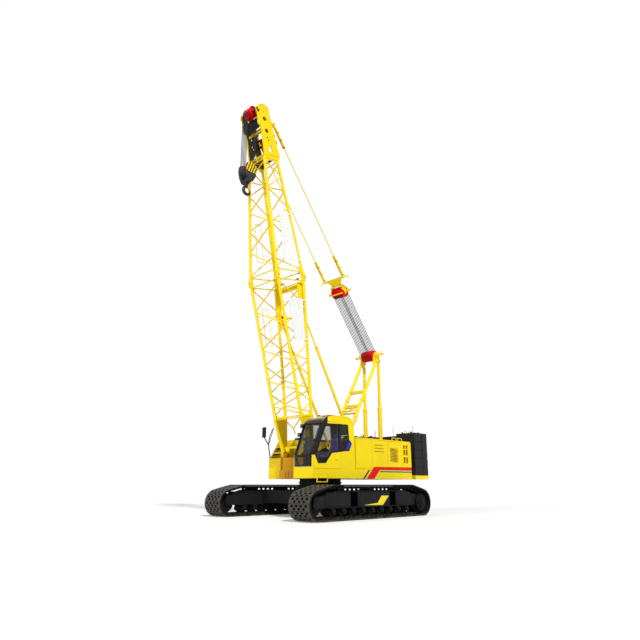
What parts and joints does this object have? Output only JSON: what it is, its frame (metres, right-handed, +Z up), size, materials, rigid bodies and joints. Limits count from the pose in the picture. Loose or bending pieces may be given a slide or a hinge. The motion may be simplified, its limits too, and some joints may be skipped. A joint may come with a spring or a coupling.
{
  "type": "crawler crane",
  "caption": "Crawler crane with a raised lattice boom, cab at the left front, gantry, rear counterweight stacks and a hook block hanging from the boom head.",
  "frame": {"origin": "on the ground under the middle of the whole crane; the slewing axis stands 0.21 m ahead of it", "axes": "+X towards the front where the boom stands, +Y towards the cab side (left), +Z up"},
  "size_m": [8.7518, 5.22, 15.178],
  "materials": {
    "machine_yellow": "satin",
    "crawler_dark": "matte",
    "ballast_dark": "matte",
    "sheave_red": "satin",
    "tinted_glass": "gloss",
    "wire_rope": "satin",
    "cast_block": "matte",
    "hook_steel": "satin",
    "seat_cloth": "matte",
    "board_white": "matte"
  },
  "bodies": {
    "undercarriage": {"car_body": "crawler_dark", "cross_beams": "crawler_dark", "slewing_bearing": "crawler_dark", "left_side_frame": "crawler_dark", "right_side_frame": "crawler_dark", "left_track": "crawler_dark", "right_track": "crawler_dark", "rollers": "crawler_dark", "idlers": "crawler_dark", "sprockets": "crawler_dark"},
    "superstructure": {"upper_frame": "machine_yellow", "left_house": "machine_yellow", "right_house": "machine_yellow", "right_tank": "machine_yellow", "engine": "cast_block", "cab_shell": "machine_yellow", "cab_glass": "tinted_glass", "operator_seat": "seat_cloth", "cab_step": "machine_yellow", "mirrors": "ballast_dark", "counterweight_tray": "machine_yellow", "counterweight": "ballast_dark", "gantry_front_legs": "machine_yellow", "gantry_rear_legs": "machine_yellow", "gantry_sheaves": "sheave_red"},
    "cab_entry": {"cab_door": "machine_yellow", "cab_door_glass": "tinted_glass"},
    "left_hatch_front": {"left_door_front": "machine_yellow"},
    "left_hatch_middle": {"left_door_middle": "machine_yellow"},
    "left_hatch_rear": {"left_door_rear": "machine_yellow"},
    "right_hatch_front": {"right_door_front": "machine_yellow"},
    "right_hatch_rear": {"right_door_rear": "machine_yellow"},
    "main_winch": {"main_drum": "wire_rope"},
    "second_winch": {"second_drum": "wire_rope"},
    "luffing_winch": {"luffing_drum": "wire_rope"},
    "boom": {"boom_base": "machine_yellow", "boom_top": "machine_yellow", "boom_lacing": "machine_yellow", "boom_head": "machine_yellow", "head_sheaves": "sheave_red", "sign_boards": "board_white"},
    "luffing_line": {"luffing_ropes": "wire_rope"},
    "bridle_gear": {"bridle": "sheave_red", "pendants": "machine_yellow"},
    "backstop_outer": {"backstop_tubes": "machine_yellow"},
    "backstop_inner": {"backstop_rods": "machine_yellow"},
    "hoist_gear": {"hoist_falls": "wire_rope", "hook_block": "ballast_dark"},
    "hook_body": {"hook": "hook_steel"}
  },
  "joints": [
    {"name": "slew", "type": "hinge", "parent": "undercarriage", "child": "superstructure", "pos_m": [0.21, 0, 1.145], "axis": [0, 0, 1], "continuous": true},
    {"name": "boom_luff", "type": "hinge", "parent": "superstructure", "child": "boom", "pos_m": [1.373, 0, 2.1], "axis": [0, 1, 0], "range_deg": [0, 49.5]},
    {"name": "hook_hang", "type": "hinge", "parent": "boom", "child": "hoist_gear", "pos_m": [4.1268, 0, 14.7907], "axis": [0, 1, 0], "range_deg": [-50, 0.5]},
    {"name": "hook_swivel", "type": "hinge", "parent": "hoist_gear", "child": "hook_body", "pos_m": [4.1268, 0, 11.5107], "axis": [0, 0, 1], "continuous": true},
    {"name": "rope_swing", "type": "hinge", "parent": "superstructure", "child": "luffing_line", "pos_m": [-2.84, 0, 6.35], "axis": [0, 1, 0], "range_deg": [-0.5, 45]},
    {"name": "bridle_travel", "type": "slide", "parent": "luffing_line", "child": "bridle_gear", "axis": [0.6074, 0, 0.7944], "range_m": [-0.01, 4.95]},
    {"name": "backstop_swing", "type": "hinge", "parent": "superstructure", "child": "backstop_outer", "pos_m": [-1.24, 0, 2], "axis": [0, 1, 0], "range_deg": [-0.5, 35.5]},
    {"name": "backstop_slide", "type": "slide", "parent": "backstop_outer", "child": "backstop_inner", "axis": [0.504, 0, 0.8637], "range_m": [-0.01, 1.46]},
    {"name": "cab_door_swing", "type": "hinge", "parent": "superstructure", "child": "cab_entry", "pos_m": [0.972, 1.668, 2.3], "axis": [0, 0, 1], "range_deg": [0, 100]},
    {"name": "left_hatch_front_swing", "type": "hinge", "parent": "superstructure", "child": "left_hatch_front", "pos_m": [0.118, 1.668, 2.1], "axis": [0, 0, -1], "range_deg": [0, 100]},
    {"name": "left_hatch_middle_swing", "type": "hinge", "parent": "superstructure", "child": "left_hatch_middle", "pos_m": [-0.812, 1.668, 2.1], "axis": [0, 0, -1], "range_deg": [0, 100]},
    {"name": "left_hatch_rear_swing", "type": "hinge", "parent": "superstructure", "child": "left_hatch_rear", "pos_m": [-1.742, 1.668, 2.1], "axis": [0, 0, -1], "range_deg": [0, 100]},
    {"name": "right_hatch_front_swing", "type": "hinge", "parent": "superstructure", "child": "right_hatch_front", "pos_m": [-0.812, -1.668, 2.1], "axis": [0, 0, 1], "range_deg": [0, 100]},
    {"name": "right_hatch_rear_swing", "type": "hinge", "parent": "superstructure", "child": "right_hatch_rear", "pos_m": [-1.742, -1.668, 2.1], "axis": [0, 0, 1], "range_deg": [0, 100]},
    {"name": "main_winch_turn", "type": "hinge", "parent": "superstructure", "child": "main_winch", "pos_m": [-1.59, 0, 1.99], "axis": [0, 1, 0], "continuous": true},
    {"name": "second_winch_turn", "type": "hinge", "parent": "superstructure", "child": "second_winch", "pos_m": [0.42, 0, 1.99], "axis": [0, 1, 0], "continuous": true},
    {"name": "luffing_winch_turn", "type": "hinge", "parent": "superstructure", "child": "luffing_winch", "pos_m": [-2.45, 0, 1.99], "axis": [0, 1, 0], "continuous": true}
  ],
  "couplings": [
    {"joint": "hook_hang", "follows": "boom_luff", "ratio": -1},
    {"joint": "rope_swing", "follows": "boom_luff", "ratio": 0.88808},
    {"joint": "bridle_travel", "follows": "boom_luff", "m_per_rad": 5.631},
    {"joint": "backstop_swing", "follows": "boom_luff", "ratio": 0.70034},
    {"joint": "backstop_slide", "follows": "boom_luff", "m_per_rad": 1.65}
  ]
}
